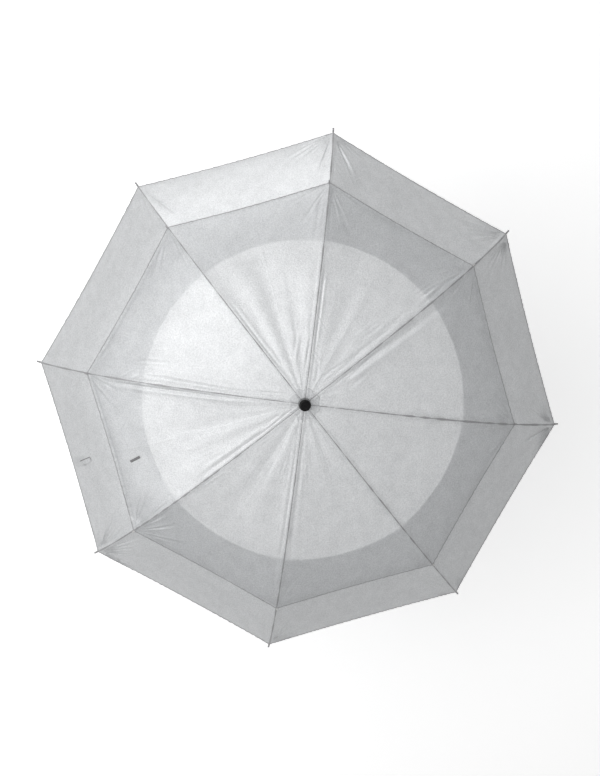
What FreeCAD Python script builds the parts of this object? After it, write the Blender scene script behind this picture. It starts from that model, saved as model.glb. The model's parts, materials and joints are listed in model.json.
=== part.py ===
import FreeCAD, Part
import os
import Sketcher
from FreeCAD import Placement, Rotation, Vector

# Vented golf umbrella, standing open on the foot of its grip. Millimetres, +Z up the shaft,
# origin at the foot of the grip on the shaft's axis. Rib 1 points along +X and the ribs are
# numbered clockwise as seen from above. Gore 1 lies between rib 1 and rib 2.

RIBS = 8
GORE_ANGLE = 360 / RIBS
FINGER_RINGS = 5

SIZES = [
    ("crown_height", 960, "foot of the grip to the rib pivots"),
    ("gore_half_angle", 22.5, "rib to the middle crease of a gore"),
    # Ribs: a long shallow arc out to the stretcher joint, then a tighter one down to the hem.
    ("notch_pivot_radius", 13, "shaft axis to the rib pivots"),
    ("joint_run", 300, "rib pivot to the stretcher joint, level"),
    ("crown_arc", 1572, "radius of the inner arc of a rib"),
    ("skirt_arc", 555.5, "radius of the outer arc of a rib"),
    ("rib_end_radius", 655, "shaft axis to the end of the rib rod"),
    ("rib_rod_radius", 1.8, "solid fibreglass rod"),
    ("tongue_width", 2, "flat root and eye tongues"),
    ("tongue_height", 4.6, ""),
    ("eye_radius", 2.8, "round end of a tongue"),
    ("socket_start", 7, "pivot to the socket that holds the rod"),
    ("socket_length", 15, ""),
    ("socket_radius", 2.75, ""),
    ("socket_edge", 1, "taper from a socket down to its rod"),
    ("overlap", 1, "how far two features of one piece run together"),
    ("clip_length", 17, "stretcher clip on the rib"),
    ("clip_width", 6.6, ""),
    ("clip_half_height", 3.4, ""),
    ("clip_lip", 0.8, "step between the clip's body and its lugs"),
    ("clip_edge", 1.2, "chamfer along the clip's back"),
    ("clip_drop", 7.5, "rod axis to the hinge pin of the clip"),
    ("lug_radius", 3.4, ""),
    ("tip_length", 13, "pointed end cap that the fabric corner is sewn to"),
    ("tip_radius", 2.3, ""),
    ("tip_overlap", 4, "length of the end cap over the rod"),
    ("tip_shoulder", 3, "end of the rod to the narrower neck"),
    ("tip_bead", 3.2, "length of the bead at the very end"),
    # Stretchers
    ("stretcher_length", 350, "pivot to pivot"),
    ("stretcher_rod_radius", 2.2, "solid fibreglass rod"),
    ("foot_tongue", 15, "length of the hooked tongue at the runner"),
    ("foot_ramp", 0.55, "slope of the mouth of the hook"),
    ("pin_radius", 1, "hinge pin in the clip"),
    ("eye_bore_radius", 1.05, "eye that runs on a pin or wire"),
    ("wire_radius", 0.7, "ring wires of the notch and the runner"),
    ("root_bore_radius", 0.85, "rib eye that runs on the bent ring wire"),
    # Shaft and grip
    ("shaft_radius", 7, "pultruded fibreglass tube"),
    ("shaft_bore_radius", 5, ""),
    ("shaft_foot", 8, "height of the tube's lower end inside the grip"),
    ("shaft_head", 21, "rib pivots to the tube's upper end"),
    ("seat_gap", 0.05, "between the tube and what is glued on it"),
    ("grip_length", 190, ""),
    ("grip_foot_radius", 16, "plain round foot, the size a holder takes"),
    ("grip_foot_length", 50, ""),
    ("grip_waist_radius", 13.6, ""),
    ("grip_waist_height", 142, ""),
    ("grip_flare_radius", 15.6, ""),
    ("grip_flare_height", 174, ""),
    ("grip_neck_radius", 10, "top of the grip round the tube"),
    ("grip_groove_radius", 1.2, "finger rings"),
    ("grip_groove_first", 74, ""),
    ("grip_groove_pitch", 11, ""),
    ("grip_edge", 3, "rounding of the foot"),
    # Top notch and cap
    ("notch_radius", 17, ""),
    ("notch_roof", 5.2, "rib pivots to the top of the notch"),
    ("notch_skirt", 4.5, "rib pivots to the underside of the slotted flange"),
    ("notch_neck_radius", 9.4, ""),
    ("notch_neck", 15, "rib pivots to the lower end of the neck"),
    ("slot_width", 2.6, ""),
    ("slot_roof", 3.4, "rib pivots to the roof of a notch slot"),
    ("notch_slot_floor", 9.8, "shaft axis to the floor of a notch slot"),
    ("cap_base", 7.7, "rib pivots to the underside of the cap"),
    ("cap_radius", 15, ""),
    ("cap_height", 28, ""),
    ("cap_shoulder", 7, "height of the cap's straight rim"),
    ("cap_top_radius", 13.4, ""),
    ("cap_round", 4.5, "rounding of the cap's top edge"),
    ("cap_dish_radius", 8.5, "shallow recess in the cap's top"),
    ("cap_dish", 0.8, "depth of that recess"),
    # Canopy
    ("fabric", 0.8, "thickness of the cloth solids"),
    ("lower_lift", 2.2, "rib axis to the underside of the lower canopy"),
    ("upper_lift", 5.5, "rib axis to the underside of the upper canopy"),
    ("crown_hole", 9, "radius of the hole for the shaft"),
    ("vent_radius", 378, "vent of the lower canopy, at a rib"),
    ("vent_margin", 40, "cloth beyond the vent that the round cut takes away"),
    ("upper_hem_radius", 519, "hem of the upper canopy, at a rib"),
    ("lower_hem_radius", 650, "hem of the lower canopy, at a rib"),
    ("crease_arc_inner", 1344, "inner arc along the middle of a gore"),
    ("crease_arc_outer", 499, "outer arc along the middle of a gore"),
    ("hem_rise", 5, "how far a hem curves in between two ribs"),
    ("seam_gap", 0.2, "half the gap between two cloth solids"),
    ("patch_base", 6.75, "rib pivots to the underside of the crown patch"),
    ("patch_thickness", 0.6, ""),
    ("patch_radius", 33, ""),
    ("patch_lobe_radius", 10, ""),
    ("patch_lobe_centre", 28, ""),
    ("patch_turn", -12, "first rib to the first lobe, anticlockwise"),
    ("strap_width", 14, ""),
    ("strap_offset", 4, "middle crease to the closing strap"),
    ("strap_run", 58, "level length of the closing strap"),
    ("strap_inset", 3, "hem to the sewn end of the strap"),
    ("strap_thickness", 0.9, ""),
    ("strap_lift", 0.5, "canopy to the closing strap"),
    # Runner, its catch and the collar it locks on
    ("runner_pivot_radius", 16, "shaft axis to the stretcher pivots"),
    ("runner_flange_radius", 19.4, ""),
    ("runner_flange", 5, "stretcher pivots to the flange's faces"),
    ("runner_slot_floor", 12.7, ""),
    ("runner_slot_drop", 9, "stretcher pivots to the ends of a slot"),
    ("runner_bore_radius", 7.3, ""),
    ("runner_barrel_radius", 12.3, ""),
    ("runner_length", 62, "stretcher pivots to the foot of the runner"),
    ("runner_foot_radius", 17, "finger rim"),
    ("runner_foot", 6, "height of the finger rim"),
    ("runner_rim_fall", 4, "cone above the finger rim"),
    ("runner_under_fall", 2, "cone below the flange"),
    ("runner_edge", 1, "chamfers of the flange"),
    ("runner_foot_edge", 1.5, "chamfer of the finger rim"),
    ("collar_seat_radius", 9.9, "recess in the runner that takes the collar"),
    ("collar_seat", 17, "stretcher pivots to the floor of that recess"),
    ("collar_radius", 9.5, ""),
    ("collar_groove_radius", 8.2, ""),
    ("collar_groove", 3.4, "height of the collar's groove"),
    ("collar_lip", 1.6, "height of the lip below the groove"),
    ("collar_lead", 2.6, "height of the cone that parts the catch"),
    ("collar_rest", 0.4, "gap between the collar and the recess floor"),
    ("collar_height", 17, ""),
    ("boss_half_width", 4.2, "housing of the push button"),
    ("boss_radius", 18, ""),
    ("boss_head", 8, "stretcher pivots to the top of the housing"),
    ("boss_foot", 50, "stretcher pivots to the foot of the housing"),
    ("boss_edge", 3, "bevel at the head of the housing"),
    ("boss_fall", 5, "bevel at the foot of the housing"),
    ("channel_half_width", 2.4, "channel of the button lever"),
    ("channel_floor", 11, "shaft axis to the channel's floor"),
    ("channel_head", 9.6, ""),
    ("channel_foot", 48, ""),
    ("lever_half_width", 2.1, ""),
    ("lever_back", 13.4, "shaft axis to the back of the button lever"),
    ("lever_face", 17, ""),
    ("lever_head", 10, ""),
    ("lever_foot", 46.5, ""),
    ("lever_pivot_radius", 15, ""),
    ("lever_pivot_drop", 24, "stretcher pivots to the lever's pin"),
    ("hook_reach", 8.6, "shaft axis to the nose of the catch"),
    ("pad_face", 20.5, "shaft axis to the face of the push button"),
    ("pad_head", 31, ""),
    ("pad_foot", 45, ""),
    ("spring_thickness", 0.35, "leaf spring behind the button"),
    ("spring_half_width", 1.8, ""),
    ("trunnion_radius", 1.1, "pin of the button lever"),
    ("hook_top", 9.4, "stretcher pivots to the top of the catch"),
    ("hook_base", 12.1, "stretcher pivots to the holding face of the catch"),
    ("hook_play", 0.6, "catch to the edges of its window"),
    ("hook_bevel", 0.8, "bevel under the nose of the catch"),
    ("hook_slope", 2, "bevel above the nose of the catch"),
    ("lever_bevel", 1.4, "bevel of the lever's head"),
    ("pad_edge", 1, "bevels of the push button"),
]

RIB_ARCS = ("$crown_arc", "$skirt_arc")
CREASE_ARCS = ("$crease_arc_inner", "$crease_arc_outer")
SQUEEZE = "cos($gore_half_angle)"
ROD_SLOPE = "asin($joint_run / $crown_arc)"
JOINT_X = "$notch_pivot_radius + $joint_run"
JOINT_Z = "$crown_height - $crown_arc + $crown_arc * cos(%s)" % ROD_SLOPE
ELBOW_X = "(%s - $clip_drop * sin(%s))" % (JOINT_X, ROD_SLOPE)
ELBOW_Z = "(%s - $clip_drop * cos(%s))" % (JOINT_Z, ROD_SLOPE)
ELBOW_RUN = "(%s - $runner_pivot_radius)" % ELBOW_X
STRETCHER_SLOPE = "acos(%s / $stretcher_length)" % ELBOW_RUN
RUNNER_Z = "(%s - $stretcher_length * sin(%s))" % (ELBOW_Z, STRETCHER_SLOPE)
ROD_END_SINE = "(%s + ($rib_end_radius - %s) / $skirt_arc)" % (
    "$joint_run / $crown_arc",
    "$notch_pivot_radius - $joint_run",
)
ROD_END_SLOPE = "asin(%s)" % ROD_END_SINE
ROD_END_Z = "%s - $skirt_arc * (cos(%s) - cos(%s))" % (JOINT_Z, ROD_SLOPE, ROD_END_SLOPE)

document = FreeCAD.newDocument("golf_umbrella")
sheet = document.addObject("Spreadsheet::Sheet", "Sizes")
for row, (alias, size, note) in enumerate(SIZES, start=1):
    sheet.set("A%d" % row, alias)
    sheet.set("B%d" % row, str(size))
    sheet.set("C%d" % row, note)
    sheet.setAlias("B%d" % row, alias)
document.recompute()

nodes = {}


def bound(formula):
    """A formula with its $names read from the sheet."""
    return formula.replace("$", "Sizes.")


def value(formula):
    """The number that a formula gives now."""
    result = sheet.evalExpression(bound(formula))
    return getattr(result, "Value", result)


def bind(item, prop, formula):
    item.setExpression(prop, bound(formula))


def new_body(name):
    """A body whose shape becomes a node of that name."""
    body = document.addObject("PartDesign::Body", name)
    nodes[name] = body
    return body


def origin_plane(body, role):
    return next(part for part in body.Origin.OriginFeatures if part.Role == role)


def new_sketch(body, name, role="XZ_Plane", offset=("0", "0", "0"), turn="0"):
    """A sketch on one of the body's own planes, moved in that plane and turned clockwise."""
    sketch = body.newObject("Sketcher::SketchObject", name)
    sketch.AttachmentSupport = (origin_plane(body, role), [""])
    sketch.MapMode = "FlatFace"
    for axis, formula in zip("xyz", offset):
        if formula != "0":
            bind(sketch, ".AttachmentOffset.Base.%s" % axis, formula)
    if turn != "0":
        bind(sketch, ".AttachmentOffset.Rotation.Angle", "-(%s)" % turn)
    return sketch


def dimension(sketch, kind, geometry, formula, point=None):
    """A radius, or the place of a point along one axis, read from the sheet."""
    size = value(formula)
    if kind == "Radius":
        index = sketch.addConstraint(Sketcher.Constraint(kind, geometry, size))
    elif abs(size) < 1e-9:
        axis = -2 if kind == "DistanceX" else -1
        sketch.addConstraint(Sketcher.Constraint("PointOnObject", geometry, point, axis))
        return
    else:
        index = sketch.addConstraint(Sketcher.Constraint(kind, -1, 1, geometry, point, size))
    bind(sketch, "Constraints[%d]" % index, formula)


def place(sketch, geometry, point, across, up):
    dimension(sketch, "DistanceX", geometry, across, point)
    dimension(sketch, "DistanceY", geometry, up, point)


def outline(sketch, corners):
    """A closed outline through corners given as pairs of formulas."""
    spots = [Vector(value(across), value(up), 0) for across, up in corners]
    first = sketch.GeometryCount
    for spot, following in zip(spots, spots[1:] + spots[:1]):
        sketch.addGeometry(Part.LineSegment(spot, following))
    for i, (across, up) in enumerate(corners):
        here = first + i
        after = first + (i + 1) % len(corners)
        sketch.addConstraint(Sketcher.Constraint("Coincident", here, 2, after, 1))
        place(sketch, here, 1, across, up)
    return sketch


def circle(sketch, across, up, radius):
    centre = Vector(value(across), value(up), 0)
    geometry = sketch.addGeometry(Part.Circle(centre, Vector(0, 0, 1), value(radius)))
    place(sketch, geometry, 3, across, up)
    dimension(sketch, "Radius", geometry, radius)
    return sketch


def pad(body, sketch, length, symmetric=False):
    feature = body.newObject("PartDesign::Pad", sketch.Name + "_pad")
    feature.Profile = sketch
    if symmetric:
        feature.SideType = "Symmetric"
    bind(feature, "Length", length)
    document.recompute()
    return feature


def pocket(body, sketch, length, symmetric=False, reverse=False):
    """Cuts a sketch into the body and makes sure that something was removed."""
    before = body.Shape.Volume
    feature = body.newObject("PartDesign::Pocket", sketch.Name + "_cut")
    feature.Profile = sketch
    if symmetric:
        feature.SideType = "Symmetric"
    feature.Reversed = reverse
    bind(feature, "Length", length)
    document.recompute()
    if feature.Shape.Volume > before - 0.01:
        raise RuntimeError("%s removed nothing" % feature.Name)
    return feature


def revolve(body, sketch, axis="V_Axis", cut=False):
    before = body.Shape.Volume if cut else 0
    kind = "PartDesign::Groove" if cut else "PartDesign::Revolution"
    feature = body.newObject(kind, sketch.Name + "_turned")
    feature.Profile = sketch
    feature.ReferenceAxis = (sketch, [axis])
    feature.Angle = 360
    document.recompute()
    if cut and feature.Shape.Volume > before - 0.01:
        raise RuntimeError("%s removed nothing" % feature.Name)
    return feature


def polar(body, feature, count=RIBS):
    """Repeats a feature round the shaft's axis."""
    pattern = body.newObject("PartDesign::PolarPattern", feature.Name + "_ring")
    pattern.Originals = [feature]
    pattern.Axis = (origin_plane(body, "Z_Axis"), [""])
    pattern.Angle = 360
    pattern.Occurrences = count
    body.Tip = pattern
    document.recompute()
    return pattern


def rounded(body, radius, chosen):
    """Rounds the edges that the test picks."""
    base = body.Tip
    names = [
        "Edge%d" % (i + 1) for i, edge in enumerate(base.Shape.Edges) if chosen(edge)
    ]
    if not names:
        raise RuntimeError("no edge to round on %s" % body.Name)
    feature = body.newObject("PartDesign::Fillet", body.Name + "_round")
    feature.Base = (base, names)
    bind(feature, "Radius", radius)
    document.recompute()
    return feature


def ring_edge(radius, height):
    """Picks the full circle of that radius at that height."""

    def test(edge):
        box = edge.BoundBox
        flat = abs(box.ZMin - height) < 0.01 and abs(box.ZMax - height) < 0.01
        return flat and abs(box.XMax - radius) < 0.01 and abs(box.YMax - radius) < 0.01

    return test


def make_shaft():
    body = new_body("shaft")
    section = new_sketch(body, "shaft_section", "XY_Plane", ("0", "0", "$shaft_foot"))
    circle(section, "0", "0", "$shaft_radius")
    circle(section, "0", "0", "$shaft_bore_radius")
    pad(body, section, "$crown_height + $shaft_head - $shaft_foot")


def make_grip():
    body = new_body("grip")
    bore = "$shaft_radius + $seat_gap"
    half = new_sketch(body, "grip_half")
    outline(
        half,
        [
            ("0", "0"),
            ("$grip_foot_radius", "0"),
            ("$grip_foot_radius", "$grip_foot_length"),
            ("$grip_waist_radius", "$grip_waist_height"),
            ("$grip_flare_radius", "$grip_flare_height"),
            ("$grip_neck_radius", "$grip_length"),
            (bore, "$grip_length"),
            (bore, "$shaft_foot"),
            ("0", "$shaft_foot"),
        ],
    )
    revolve(body, half)
    ring = new_sketch(body, "finger_ring")
    height = "$grip_groove_first"
    taper = "($grip_foot_radius - $grip_waist_radius) / ($grip_waist_height - $grip_foot_length)"
    face = "$grip_foot_radius - (%s - $grip_foot_length) * %s" % (height, taper)
    circle(ring, face, height, "$grip_groove_radius")
    cut = revolve(body, ring, cut=True)
    rings = body.newObject("PartDesign::LinearPattern", "finger_rings")
    rings.Originals = [cut]
    rings.Direction = (origin_plane(body, "Z_Axis"), [""])
    rings.Occurrences = FINGER_RINGS
    bind(rings, "Length", "%d * $grip_groove_pitch" % (FINGER_RINGS - 1))
    body.Tip = rings
    document.recompute()
    rounded(body, "$grip_edge", ring_edge(value("$grip_foot_radius"), 0))


def slotted_flange(body, name, pivot_z, foot, head, floor, pivot_radius, turn="0"):
    """Cuts the eight hinge slots of a flange and the channel of its ring wire."""
    shift = ("%s * sin(%s)" % (floor, turn), "0", "%s * cos(%s)" % (floor, turn))
    slot = new_sketch(body, name + "_slot", "YZ_Plane", shift)
    slot.AttachmentOffset = Placement(Vector(), Rotation(Vector(0, 1, 0), value(turn)))
    side = "$slot_width / 2"
    low = "%s - %s" % (pivot_z, foot)
    high = "%s + %s" % (pivot_z, head)
    outline(slot, [("-" + side, low), (side, low), (side, high), ("-" + side, high)])
    polar(body, pocket(body, slot, "$runner_flange_radius", reverse=True))
    channel = new_sketch(body, name + "_channel")
    circle(channel, pivot_radius, pivot_z, "$wire_radius")
    revolve(body, channel, cut=True)


def make_notch():
    body = new_body("top_notch")
    bore = "$shaft_radius + $seat_gap"
    roof = "$crown_height + $notch_roof"
    skirt = "$crown_height - $notch_skirt"
    foot = "$crown_height - $notch_neck"
    half = new_sketch(body, "notch_half")
    outline(
        half,
        [
            (bore, foot),
            ("$notch_neck_radius", foot),
            ("$notch_neck_radius", skirt),
            ("$notch_radius", skirt),
            ("$notch_radius", roof),
            (bore, roof),
        ],
    )
    revolve(body, half)
    slotted_flange(
        body, "notch", "$crown_height", "$notch_neck", "$slot_roof", "$notch_slot_floor",
        "$notch_pivot_radius",
    )


def make_ring_wire(name, radius, height):
    body = new_body(name)
    section = new_sketch(body, name + "_section")
    circle(section, radius, height, "$wire_radius")
    revolve(body, section)


def make_cap():
    body = new_body("ferrule_cap")
    base = "$crown_height + $cap_base"
    top = "%s + $cap_height" % base
    seat = "$crown_height + $shaft_head + $seat_gap"
    bore = "$shaft_radius + $seat_gap"
    half = new_sketch(body, "cap_half")
    outline(
        half,
        [
            (bore, base),
            ("$cap_radius", base),
            ("$cap_radius", "%s + $cap_shoulder" % base),
            ("$cap_top_radius", top),
            ("$cap_dish_radius", top),
            ("$cap_dish_radius - $cap_dish", top + " - $cap_dish"),
            ("0", top + " - $cap_dish"),
            ("0", seat),
            (bore, seat),
        ],
    )
    revolve(body, half)
    rounded(body, "$cap_round", ring_edge(value("$cap_top_radius"), value(top)))


def make_patch():
    body = new_body("crown_patch")
    base = "$crown_height + $patch_base"
    disc = new_sketch(body, "patch_disc", "XY_Plane", ("0", "0", base))
    circle(disc, "0", "0", "$patch_radius")
    circle(disc, "0", "0", "$crown_hole")
    pad(body, disc, "$patch_thickness")
    lobe = new_sketch(body, "patch_lobe", "XY_Plane", ("0", "0", base))
    across = "$patch_lobe_centre * cos($patch_turn)"
    up = "$patch_lobe_centre * sin($patch_turn)"
    circle(lobe, across, up, "$patch_lobe_radius")
    polar(body, pad(body, lobe, "$patch_thickness"))


def make_collar():
    body = new_body("lock_collar")
    bore = "$shaft_radius + $seat_gap"
    foot = "%s - $collar_seat + $collar_rest" % RUNNER_Z
    lip = "%s + $collar_lead" % foot
    groove = "%s + $collar_lip" % lip
    shoulder = "%s + $collar_groove" % groove
    top = "%s + $collar_height" % foot
    half = new_sketch(body, "collar_half")
    outline(
        half,
        [
            (bore, foot),
            ("$collar_groove_radius", foot),
            ("$collar_radius", lip),
            ("$collar_radius", groove),
            ("$collar_groove_radius", groove),
            ("$collar_groove_radius", shoulder),
            ("$collar_radius", shoulder),
            ("$collar_radius", top),
            (bore, top),
        ],
    )
    revolve(body, half)


def make_rib(master):
    """One rib: root eye, socket, curved rod, stretcher clip and end cap."""
    body = document.addObject("PartDesign::Body", master)
    eye = new_sketch(body, "root_disc", offset=("$notch_pivot_radius", "$crown_height", "0"))
    circle(eye, "0", "0", "$eye_radius")
    pad(body, eye, "$tongue_width", symmetric=True)
    tongue = new_sketch(body, "root_tongue", offset=("$notch_pivot_radius", "$crown_height", "0"))
    side = "$tongue_height / 2"
    reach = "$socket_start + $overlap"
    outline(tongue, [("0", "-" + side), (reach, "-" + side), (reach, side), ("0", side)])
    pad(body, tongue, "$tongue_width", symmetric=True)
    socket_x = "$notch_pivot_radius + $socket_start"
    socket = new_sketch(body, "root_socket", "YZ_Plane", ("0", "0", socket_x))
    circle(socket, "0", "$crown_height", "$socket_radius")
    pad(body, socket, "$socket_length")
    section = new_sketch(body, "rod_section", "YZ_Plane", ("0", "0", socket_x + " + $overlap"))
    circle(section, "0", "$crown_height", "$rib_rod_radius")
    path = new_sketch(body, "rod_path")
    rod_path(path, socket_x + " + $overlap")
    rod = body.newObject("PartDesign::AdditivePipe", "rod")
    rod.Profile = section
    rod.Spine = (path, ["Edge1", "Edge2"])
    document.recompute()
    clip = new_sketch(body, "clip_side", offset=(JOINT_X, JOINT_Z, "0"), turn=ROD_SLOPE)
    half = "$clip_length / 2"
    lug = "$lug_radius"
    outline(
        clip,
        [
            ("-" + half, "-$clip_half_height"),
            ("-" + lug, "-$clip_half_height - $clip_lip"),
            ("-" + lug, "-$clip_drop"),
            ("-$lug_radius * sin(30)", "-$clip_drop - $lug_radius * cos(30)"),
            ("$lug_radius * sin(30)", "-$clip_drop - $lug_radius * cos(30)"),
            (lug, "-$clip_drop"),
            (lug, "-$clip_half_height - $clip_lip"),
            (half, "-$clip_half_height"),
            (half, "$clip_half_height - $clip_edge"),
            (half + " - $clip_edge", "$clip_half_height"),
            ("-" + half + " + $clip_edge", "$clip_half_height"),
            ("-" + half, "$clip_half_height - $clip_edge"),
        ],
    )
    pad(body, clip, "$clip_width", symmetric=True)
    fork = new_sketch(body, "clip_fork", offset=(JOINT_X, JOINT_Z, "0"), turn=ROD_SLOPE)
    roof = "-$clip_drop + $eye_radius + $clip_lip"
    floor = "-$clip_drop - $lug_radius * 2"
    outline(fork, [("-" + half, floor), (half, floor), (half, roof), ("-" + half, roof)])
    pocket(body, fork, "$slot_width", symmetric=True)
    pin = new_sketch(body, "clip_pin", offset=(JOINT_X, JOINT_Z, "0"), turn=ROD_SLOPE)
    circle(pin, "0", "-$clip_drop", "$pin_radius")
    pad(body, pin, "$clip_width", symmetric=True)
    end = new_sketch(
        body, "tip_half", offset=("$rib_end_radius", ROD_END_Z, "0"), turn=ROD_END_SLOPE
    )
    outline(
        end,
        [
            ("-$tip_overlap", "0"),
            ("-$tip_overlap", "$tip_radius"),
            ("$tip_shoulder", "$tip_radius"),
            ("$tip_shoulder + $clip_edge", "$rib_rod_radius"),
            ("$tip_length - $tip_bead - $clip_lip", "$rib_rod_radius"),
            ("$tip_length - $tip_bead", "$tip_radius"),
            ("$tip_length - $clip_lip", "$tip_radius"),
            ("$tip_length", "$rib_rod_radius - $clip_lip"),
            ("$tip_length", "0"),
        ],
    )
    revolve(body, end, axis="H_Axis")
    bore = new_sketch(body, "root_bore", offset=("$notch_pivot_radius", "$crown_height", "0"))
    circle(bore, "0", "0", "$root_bore_radius")
    pocket(body, bore, "$tongue_width * 2", symmetric=True)
    return body


def arc(sketch, centre, radius, inner_x, outer_x):
    """An arc about a centre above which it is level, from inner_x to outer_x."""
    ring = Part.Circle(centre, Vector(0, 0, 1), radius)
    ends = []
    for x in (outer_x, inner_x):
        height = (radius * radius - (x - centre.x) ** 2) ** 0.5
        ends.append(ring.parameter(Vector(x, centre.y + height, 0)))
    return sketch.addGeometry(Part.ArcOfCircle(ring, ends[0], ends[1]))


def canopy_curve(sketch, lift, start_x, joint_x, end_x, centre_x, arcs, joint_run):
    """A crown arc that is level at centre_x and a skirt arc tangent to it.

    lift raises both arcs from the rib's axis. Returns the numbers of the two arcs."""
    inner, outer = ["(%s + %s)" % (radius, lift) for radius in arcs]
    centre_z = "$crown_height - %s" % arcs[0]
    sine = value("%s / %s" % (joint_run, arcs[0]))
    cosine = (1 - sine * sine) ** 0.5
    first_centre = Vector(value(centre_x), value(centre_z), 0)
    shift = value(arcs[0]) - value(arcs[1])
    second_centre = first_centre + Vector(shift * sine, shift * cosine, 0)
    crown = arc(sketch, first_centre, value(inner), value(start_x), value(joint_x))
    skirt = arc(sketch, second_centre, value(outer), value(joint_x), value(end_x))
    place(sketch, crown, 3, centre_x, centre_z)
    dimension(sketch, "Radius", crown, inner)
    dimension(sketch, "DistanceX", crown, start_x, 2)
    dimension(sketch, "DistanceX", crown, joint_x, 1)
    sketch.addConstraint(Sketcher.Constraint("Tangent", crown, 1, skirt, 2))
    dimension(sketch, "Radius", skirt, outer)
    dimension(sketch, "DistanceX", skirt, end_x, 1)
    return crown, skirt


def rod_path(sketch, start_x):
    canopy_curve(
        sketch, "0", start_x, JOINT_X, "$rib_end_radius", "$notch_pivot_radius", RIB_ARCS,
        "$joint_run",
    )


def make_stretcher(master):
    """One stretcher, drawn along its own length from the runner up to the clip of its rib."""
    body = document.addObject("PartDesign::Body", master)
    foot = ("$runner_pivot_radius", RUNNER_Z, "0")
    slope = "-%s" % STRETCHER_SLOPE
    length = "$stretcher_length"
    half = new_sketch(body, "stretcher_half", offset=foot, turn=slope)
    neck = "$foot_tongue + $socket_length"
    collar = "%s - $socket_start - $socket_length" % length
    outline(
        half,
        [
            ("$foot_tongue", "0"),
            ("$foot_tongue", "$socket_radius"),
            (neck, "$socket_radius"),
            (neck + " + $socket_edge", "$stretcher_rod_radius"),
            (collar + " - $socket_edge", "$stretcher_rod_radius"),
            (collar, "$socket_radius"),
            (length + " - $socket_start", "$socket_radius"),
            (length + " - $socket_start", "0"),
        ],
    )
    revolve(body, half, axis="H_Axis")
    side = "$tongue_height / 2"
    tongue = new_sketch(body, "foot_tongue", offset=foot, turn=slope)
    reach = "$foot_tongue + $overlap"
    outline(tongue, [("0", "-" + side), (reach, "-" + side), (reach, side), ("0", side)])
    pad(body, tongue, "$tongue_width", symmetric=True)
    nose = new_sketch(body, "foot_disc", offset=foot, turn=slope)
    circle(nose, "0", "0", "$eye_radius")
    pad(body, nose, "$tongue_width", symmetric=True)
    root = "%s - $socket_start - $overlap" % length
    upper = new_sketch(body, "head_tongue", offset=foot, turn=slope)
    outline(upper, [(root, "-" + side), (length, "-" + side), (length, side), (root, side)])
    pad(body, upper, "$tongue_width", symmetric=True)
    disc = new_sketch(body, "head_disc", offset=foot, turn=slope)
    circle(disc, length, "0", "$eye_radius")
    pad(body, disc, "$tongue_width", symmetric=True)
    eye = new_sketch(body, "head_eye", offset=foot, turn=slope)
    circle(eye, length, "0", "$eye_bore_radius")
    pocket(body, eye, "$tongue_width * 2", symmetric=True)
    seat = new_sketch(body, "hook_seat", offset=foot, turn=slope)
    circle(seat, "0", "0", "$eye_bore_radius")
    pocket(body, seat, "$tongue_width * 2", symmetric=True)
    mouth = new_sketch(body, "hook_mouth", offset=foot, turn=slope)
    bore = "$eye_bore_radius"
    top = "$eye_radius + $overlap"
    run = "(%s + %s) / $foot_ramp" % (top, bore)
    outline(mouth, [("-" + bore, "0"), ("0", "-" + bore), (run, top), ("-" + bore, top)])
    pocket(body, mouth, "$tongue_width * 2", symmetric=True)
    return body


def upright(turn, shift):
    """A vertical plane through the shaft's axis at a turn from rib 1, moved off it."""
    rotation = Rotation(Vector(0, 0, 1), turn) * Rotation(Vector(1, 0, 0), 90)
    return Placement(rotation.multVec(Vector(0, 0, shift)), rotation)


def cloth_sketch(name, turn, shift, arcs, squeeze, lift, start_x, end_x, thickness="$fabric"):
    """The section of a cloth solid in an upright plane.

    squeeze brings the rib's level distances in to the plane of the crease."""
    sketch = document.addObject("Sketcher::SketchObject", name)
    sketch.Placement = upright(turn, shift)
    centre_x = "$notch_pivot_radius * %s" % squeeze
    run = "$joint_run * %s" % squeeze
    chains = []
    for raised in ("(%s + %s)" % (lift, thickness), lift):
        if value(start_x) < value("%s + %s" % (centre_x, run)):
            joint_x = "%s + (%s + %s) * %s / %s" % (centre_x, arcs[0], raised, run, arcs[0])
            chain = canopy_curve(
                sketch, raised, start_x, joint_x, end_x, centre_x, arcs, run
            )
        else:
            chain = skirt_curve(sketch, raised, start_x, end_x, centre_x, arcs, run)
        chains.append(chain)
    top, under = chains
    for point, over, below in ((1, top[-1], under[-1]), (2, top[0], under[0])):
        ends = [sketch.getPoint(geometry, point) for geometry in (over, below)]
        edge = sketch.addGeometry(Part.LineSegment(*ends))
        sketch.addConstraint(Sketcher.Constraint("Coincident", edge, 1, over, point))
        sketch.addConstraint(Sketcher.Constraint("Coincident", edge, 2, below, point))
    return sketch


def skirt_curve(sketch, lift, start_x, end_x, centre_x, arcs, run):
    """The outer arc alone, about the centre that makes it tangent to the inner one."""
    radius = "(%s + %s)" % (arcs[1], lift)
    shift = "(%s - %s)" % arcs
    centre_x = "%s + %s * %s / %s" % (centre_x, shift, run, arcs[0])
    centre_z = "$crown_height - %s + %s * cos(asin(%s / %s))" % (arcs[0], shift, run, arcs[0])
    centre = Vector(value(centre_x), value(centre_z), 0)
    skirt = arc(sketch, centre, value(radius), value(start_x), value(end_x))
    place(sketch, skirt, 3, centre_x, centre_z)
    dimension(sketch, "Radius", skirt, radius)
    dimension(sketch, "DistanceX", skirt, start_x, 2)
    dimension(sketch, "DistanceX", skirt, end_x, 1)
    return (skirt,)


def made(kind, name, **properties):
    item = document.addObject(kind, name)
    for key, setting in properties.items():
        setattr(item, key, setting)
    return item


def cut_by(base, tool, name):
    document.recompute()
    before = base.Shape.Volume
    item = made("Part::Cut", name, Base=base, Tool=tool)
    document.recompute()
    if item.Shape.Volume > before - 1:
        raise RuntimeError("%s removed nothing" % name)
    return item


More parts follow.
